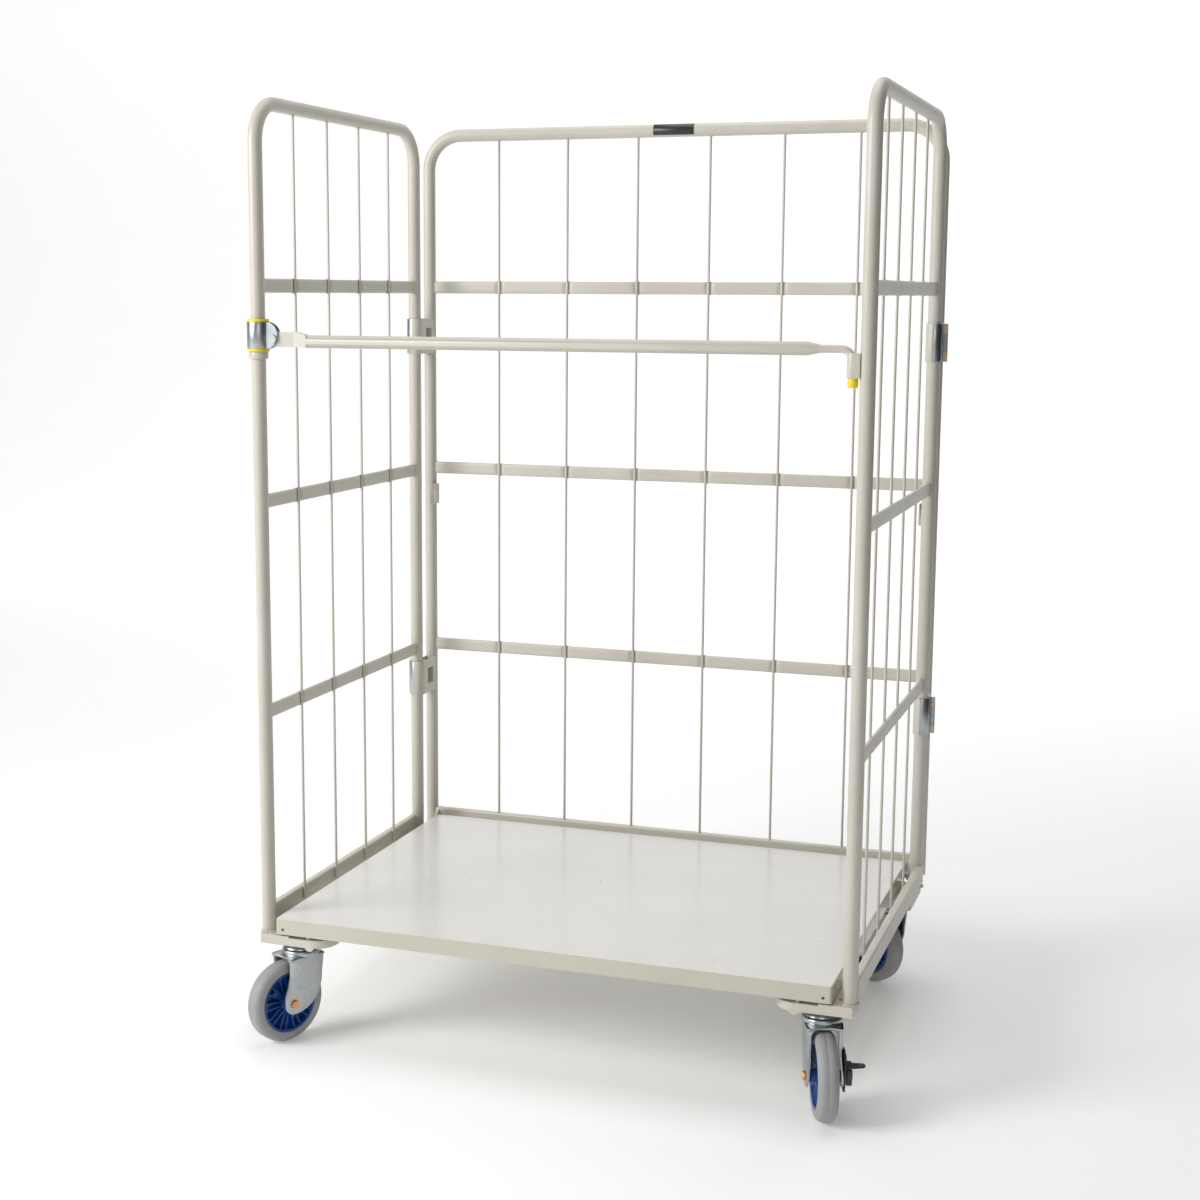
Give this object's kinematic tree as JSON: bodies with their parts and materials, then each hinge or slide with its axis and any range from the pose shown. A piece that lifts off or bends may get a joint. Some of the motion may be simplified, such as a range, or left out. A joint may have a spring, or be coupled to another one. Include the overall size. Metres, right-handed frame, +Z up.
{
  "type": "roll cage container",
  "caption": "Roll cage container with three wire mesh panels on tube frames, a flip-up sheet steel deck, a front bar and swivel casters.",
  "frame": {"origin": "on the floor below the middle of the cage's footprint", "axes": "+X to the right of a person facing the open front, +Y to the back panel, +Z up"},
  "size_m": [1.1369, 0.8485, 1.7],
  "materials": {
    "powder_coat": "satin beige powder coat",
    "deck_coat": "glossy light grey enamel",
    "zinc": "bright zinc plate",
    "gold_zinc": "yellow passivated zinc",
    "yellow_plastic": "moulded yellow plastic",
    "blue_plastic": "moulded blue nylon",
    "grey_rubber": "non-marking grey rubber",
    "dark_plate": "blank dark plate",
    "dark_steel": "dark painted steel"
  },
  "bodies": {
    "back_panel": {"back_frame": "powder_coat", "back_rails": "powder_coat", "back_bottom_rail": "powder_coat", "back_wires": "powder_coat", "label_plate": "dark_plate", "hinge_brackets": "powder_coat", "hinge_straps": "zinc", "hinge_bolts": "gold_zinc", "deck_catches": "powder_coat", "deck_hinge_arms": "powder_coat", "deck_hinge_pins": "zinc"},
    "left_panel": {"left_frame": "powder_coat", "left_rails": "powder_coat", "left_bottom_rail": "powder_coat", "left_wires": "powder_coat", "left_caster_bolts": "gold_zinc", "front_left_caster_bracket": "powder_coat", "front_left_caster_plate": "zinc", "rear_left_caster_bracket": "powder_coat", "rear_left_caster_plate": "zinc", "bar_collar": "powder_coat"},
    "right_panel": {"right_frame": "powder_coat", "right_rails": "powder_coat", "right_bottom_rail": "powder_coat", "right_wires": "powder_coat", "right_caster_bolts": "gold_zinc", "front_right_caster_bracket": "powder_coat", "front_right_caster_plate": "zinc", "rear_right_caster_bracket": "powder_coat", "rear_right_caster_plate": "zinc", "bar_stop": "powder_coat"},
    "deck": {"deck_sheet": "deck_coat", "deck_ribs": "powder_coat"},
    "bar_clamp": {"clamp_strap": "zinc", "clamp_bushes": "yellow_plastic", "clamp_pin": "zinc"},
    "front_bar": {"front_bar": "powder_coat", "bar_shoe": "powder_coat", "bar_tip_cap": "yellow_plastic"},
    "front_left_swivel": {"front_left_fork": "zinc", "front_left_axle": "gold_zinc", "front_left_brake_plate": "dark_steel"},
    "front_left_wheel": {"front_left_hub": "blue_plastic", "front_left_tyre": "grey_rubber"},
    "front_left_brake": {"front_left_brake_pedal": "dark_steel"},
    "front_right_swivel": {"front_right_fork": "zinc", "front_right_axle": "gold_zinc", "front_right_brake_plate": "dark_steel"},
    "front_right_wheel": {"front_right_hub": "blue_plastic", "front_right_tyre": "grey_rubber"},
    "front_right_brake": {"front_right_brake_pedal": "dark_steel"},
    "rear_left_swivel": {"rear_left_fork": "zinc", "rear_left_axle": "gold_zinc"},
    "rear_left_wheel": {"rear_left_hub": "blue_plastic", "rear_left_tyre": "grey_rubber"},
    "rear_right_swivel": {"rear_right_fork": "zinc", "rear_right_axle": "gold_zinc"},
    "rear_right_wheel": {"rear_right_hub": "blue_plastic", "rear_right_tyre": "grey_rubber"}
  },
  "joints": [
    {"name": "left_panel_swing", "type": "hinge", "parent": "back_panel", "child": "left_panel", "pos_m": [-0.5373, 0.341, 0.9], "axis": [0, 0, -1], "range_deg": [0, 105]},
    {"name": "right_panel_swing", "type": "hinge", "parent": "back_panel", "child": "right_panel", "pos_m": [0.5373, 0.341, 0.9], "axis": [0, 0, 1], "range_deg": [0, 105]},
    {"name": "deck_flip", "type": "hinge", "parent": "back_panel", "child": "deck", "pos_m": [0, 0.37, 0.212], "axis": [-1, 0, 0], "range_deg": [0, 90]},
    {"name": "bar_swing", "type": "hinge", "parent": "left_panel", "child": "bar_clamp", "pos_m": [-0.5373, -0.341, 1.287], "axis": [0, 0, -1], "range_deg": [0, 180]},
    {"name": "bar_lift", "type": "hinge", "parent": "bar_clamp", "child": "front_bar", "pos_m": [-0.506, -0.341, 1.281], "axis": [0, -1, 0], "range_deg": [0, 90]},
    {"name": "front_left_swivel_turn", "type": "hinge", "parent": "left_panel", "child": "front_left_swivel", "pos_m": [-0.4865, -0.314, 0.17], "axis": [0, 0, 1], "continuous": true},
    {"name": "front_left_wheel_roll", "type": "hinge", "parent": "front_left_swivel", "child": "front_left_wheel", "pos_m": [-0.50434, -0.34755, 0.075], "axis": [0.8829, -0.4695, 0], "continuous": true},
    {"name": "front_left_brake_press", "type": "hinge", "parent": "front_left_swivel", "child": "front_left_brake", "pos_m": [-0.53516, -0.33117, 0.093], "axis": [0.8829, -0.4695, 0], "range_deg": [0, 18]},
    {"name": "front_right_swivel_turn", "type": "hinge", "parent": "right_panel", "child": "front_right_swivel", "pos_m": [0.4865, -0.314, 0.17], "axis": [0, 0, 1], "continuous": true},
    {"name": "front_right_wheel_roll", "type": "hinge", "parent": "front_right_swivel", "child": "front_right_wheel", "pos_m": [0.49887, -0.34993, 0.075], "axis": [0.9455, 0.3256, 0], "continuous": true},
    {"name": "front_right_brake_press", "type": "hinge", "parent": "front_right_swivel", "child": "front_right_brake", "pos_m": [0.53187, -0.33857, 0.093], "axis": [0.9455, 0.3256, 0], "range_deg": [0, 18]},
    {"name": "rear_left_swivel_turn", "type": "hinge", "parent": "left_panel", "child": "rear_left_swivel", "pos_m": [-0.4865, 0.314, 0.17], "axis": [0, 0, 1], "continuous": true},
    {"name": "rear_left_wheel_roll", "type": "hinge", "parent": "rear_left_swivel", "child": "rear_left_wheel", "pos_m": [-0.50434, 0.34755, 0.075], "axis": [-0.8829, -0.4695, 0], "continuous": true},
    {"name": "rear_right_swivel_turn", "type": "hinge", "parent": "right_panel", "child": "rear_right_swivel", "pos_m": [0.4865, 0.314, 0.17], "axis": [0, 0, 1], "continuous": true},
    {"name": "rear_right_wheel_roll", "type": "hinge", "parent": "rear_right_swivel", "child": "rear_right_wheel", "pos_m": [0.45359, 0.333, 0.075], "axis": [-0.5, -0.866, 0], "continuous": true}
  ]
}
